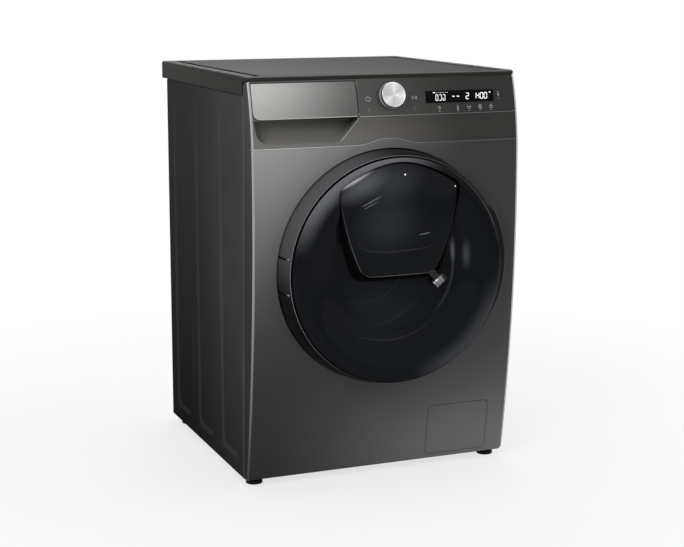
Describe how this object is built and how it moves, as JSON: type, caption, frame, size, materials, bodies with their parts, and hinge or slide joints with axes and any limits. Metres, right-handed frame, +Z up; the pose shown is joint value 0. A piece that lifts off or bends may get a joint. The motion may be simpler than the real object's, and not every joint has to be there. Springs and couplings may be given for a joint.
{
  "type": "front-load washing machine",
  "caption": "Front-load washing machine: bulged front, round tinted door with a smaller load door in it, detergent drawer, dial, sprung tub and belt-driven drum.",
  "frame": {"origin": "centre of the bounding box's base, on the floor under the four feet", "axes": "+Z up, the door faces -Y, +X to the right seen from the front"},
  "size_m": [0.6, 0.6996, 0.85],
  "materials": {
    "side_paint": "satin",
    "graphite_paint": "satin",
    "top_laminate": "satin",
    "brushed_front": "satin",
    "dark_plastic": "satin",
    "tinted_glass": "gloss",
    "clear_glass": "gloss",
    "spun_metal": "satin",
    "hinge_metal": "gloss",
    "zinc_steel": "satin",
    "alloy": "matte",
    "white_plastic": "satin",
    "grey_rubber": "matte",
    "black_rubber": "matte",
    "weight_iron": "matte",
    "stainless": "satin",
    "circuit_board": "satin"
  },
  "bodies": {
    "cabinet": {"worktop_frame": "top_laminate", "worktop_board": "top_laminate", "side_panel_left": "side_paint", "side_panel_right": "side_paint", "rear_panel": "zinc_steel", "rear_access_cover": "zinc_steel", "base_pan": "dark_plastic", "front_panel": "graphite_paint", "control_fascia": "graphite_paint", "display_window": "tinted_glass", "drawer_housing": "white_plastic", "control_board": "circuit_board", "door_hinge_bracket": "zinc_steel", "door_lock": "white_plastic", "door_gasket": "grey_rubber", "damper_cylinder_left": "dark_plastic", "damper_cylinder_right": "dark_plastic", "drain_pump": "white_plastic", "inlet_valve": "white_plastic", "power_gland": "black_rubber", "sump_hose": "black_rubber", "dispenser_hose": "black_rubber", "inlet_hose": "grey_rubber", "drain_hose": "grey_rubber"},
    "door": {"door_ring": "dark_plastic", "door_cover": "tinted_glass", "door_bowl": "clear_glass", "door_inner_frame": "dark_plastic", "door_hinge_leaf": "zinc_steel", "small_hinge_bracket": "hinge_metal"},
    "small_door": {"small_door_panel": "tinted_glass", "small_door_plug": "dark_plastic", "small_door_hinge": "hinge_metal"},
    "door_hook": {"latch_hook": "zinc_steel"},
    "drawer": {"drawer_front": "brushed_front", "drawer_tray": "white_plastic", "siphon_cap": "dark_plastic"},
    "knob": {"selector_knob": "spun_metal"},
    "tub": {"tub_front": "white_plastic", "tub_rear": "white_plastic", "bearing_cartridge": "stainless", "counterweight_upper": "weight_iron", "counterweight_lower": "weight_iron", "heater": "stainless", "motor": "alloy", "drive_belt": "black_rubber", "suspension_spring_left": "stainless", "suspension_spring_right": "stainless", "damper_rod_left": "stainless", "damper_rod_right": "stainless"},
    "drum": {"drum_shell": "stainless", "drum_spider": "alloy", "drum_pulley": "alloy"},
    "rotor": {"motor_pulley": "stainless"},
    "hatch": {"filter_hatch": "graphite_paint"},
    "filter": {"filter_cap": "dark_plastic"},
    "front_left_foot": {"foot_front_left": "black_rubber"},
    "front_right_foot": {"foot_front_right": "black_rubber"},
    "rear_left_foot": {"foot_rear_left": "black_rubber"},
    "rear_right_foot": {"foot_rear_right": "black_rubber"}
  },
  "joints": [
    {"name": "door_swing", "type": "hinge", "parent": "cabinet", "child": "door", "pos_m": [-0.2285, -0.31525, 0.455], "axis": [0, 0, -1], "range_deg": [0, 140]},
    {"name": "small_door_swing", "type": "hinge", "parent": "door", "child": "small_door", "pos_m": [0.093, -0.33125, 0.427], "axis": [0.7547, 0, 0.6561], "range_deg": [0, 100]},
    {"name": "latch_hook_turn", "type": "hinge", "parent": "door", "child": "door_hook", "pos_m": [0.212, -0.27825, 0.455], "axis": [0, 0, -1], "range_deg": [0, 8], "stiffness_Nm_per_rad": 0.5},
    {"name": "drawer_slide", "type": "slide", "parent": "cabinet", "child": "drawer", "axis": [0, -1, 0], "range_m": [0, 0.2]},
    {"name": "knob_turn", "type": "hinge", "parent": "cabinet", "child": "knob", "pos_m": [0.008, -0.27225, 0.804], "axis": [0, -0.9704, 0.2417], "continuous": true},
    {"name": "tub_bounce", "type": "slide", "parent": "cabinet", "child": "tub", "axis": [0, 0, 1], "range_m": [-0.01, 0.01], "stiffness_N_per_m": 16000, "springref_m": 0.0238, "deforming": ["suspension_spring_left", "suspension_spring_right", "door_gasket", "sump_hose", "dispenser_hose"]},
    {"name": "drum_spin", "type": "hinge", "parent": "tub", "child": "drum", "pos_m": [0, 0.04975, 0.455], "axis": [0, 1, 0], "continuous": true},
    {"name": "rotor_spin", "type": "hinge", "parent": "tub", "child": "rotor", "pos_m": [0.06, 0.26975, 0.112], "axis": [0, 1, 0], "continuous": true},
    {"name": "hatch_swing", "type": "hinge", "parent": "cabinet", "child": "hatch", "pos_m": [0.179, -0.23675, 0.04], "axis": [1, 0, 0], "range_deg": [0, 90]},
    {"name": "filter_turn", "type": "hinge", "parent": "cabinet", "child": "filter", "pos_m": [0.18, -0.23025, 0.08], "axis": [0, 1, 0], "range_deg": [0, 90]},
    {"name": "front_left_foot_screw", "type": "slide", "parent": "cabinet", "child": "front_left_foot", "axis": [0, 0, -1], "range_m": [0, 0.012]},
    {"name": "front_right_foot_screw", "type": "slide", "parent": "cabinet", "child": "front_right_foot", "axis": [0, 0, -1], "range_m": [0, 0.012]},
    {"name": "rear_left_foot_screw", "type": "slide", "parent": "cabinet", "child": "rear_left_foot", "axis": [0, 0, -1], "range_m": [0, 0.012]},
    {"name": "rear_right_foot_screw", "type": "slide", "parent": "cabinet", "child": "rear_right_foot", "axis": [0, 0, -1], "range_m": [0, 0.012]}
  ],
  "couplings": [
    {"joint": "rotor_spin", "follows": "drum_spin", "ratio": 10}
  ]
}
